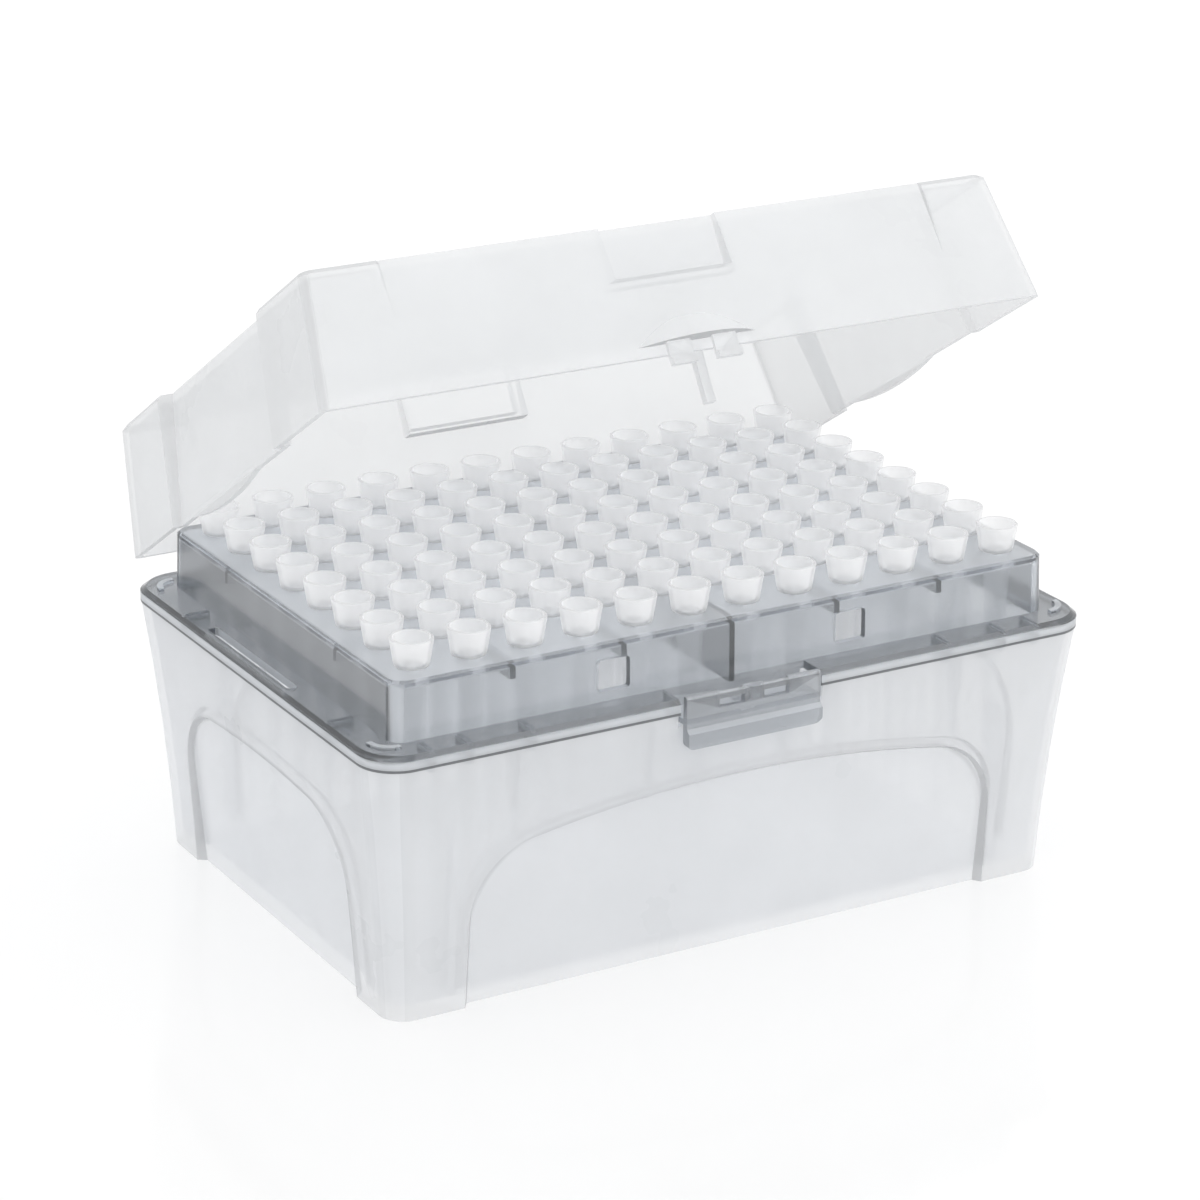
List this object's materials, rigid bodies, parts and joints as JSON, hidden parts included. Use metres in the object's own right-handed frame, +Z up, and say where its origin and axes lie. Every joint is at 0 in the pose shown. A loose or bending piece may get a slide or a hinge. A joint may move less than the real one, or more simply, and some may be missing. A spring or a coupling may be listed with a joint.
{
  "type": "box of pipette tips",
  "caption": "Hinged rack box of pipette tips: a flared tub, a drop-in perforated tray with a sprung latch, rows of hollow tapered tips, and a clear lid standing half open.",
  "frame": {"origin": "on the surface that the box stands on, under the middle of the grid of tips", "axes": "+X along the box's long side, +Y towards the hinge, with the latch on the -Y side, +Z up"},
  "size_m": [0.1208, 0.0937, 0.1043],
  "materials": {
    "frosted_clear": "frosted translucent polypropylene, fine satin texture",
    "smoke_grey": "smoke-grey translucent polypropylene, satin",
    "milky_clear": "clear, slightly milky polypropylene, smooth",
    "tip_clear": "natural translucent polypropylene, smooth"
  },
  "bodies": {
    "box": {"base": "frosted_clear", "tray": "smoke_grey", "tips_column_01": "tip_clear", "tips_column_02": "tip_clear", "tips_column_03": "tip_clear", "tips_column_04": "tip_clear", "tips_column_05": "tip_clear", "tips_column_06": "tip_clear", "tips_column_07": "tip_clear", "tips_column_08": "tip_clear", "tips_column_09": "tip_clear", "tips_column_10": "tip_clear", "tips_column_11": "tip_clear", "tips_column_12": "tip_clear"},
    "lid": {"lid": "milky_clear"}
  },
  "joints": [
    {"name": "lid_hinge", "type": "hinge", "parent": "box", "child": "lid", "pos_m": [0, 0.0455, 0.041], "axis": [-1, 0, 0], "range_deg": [-32.56, 77.44]}
  ]
}
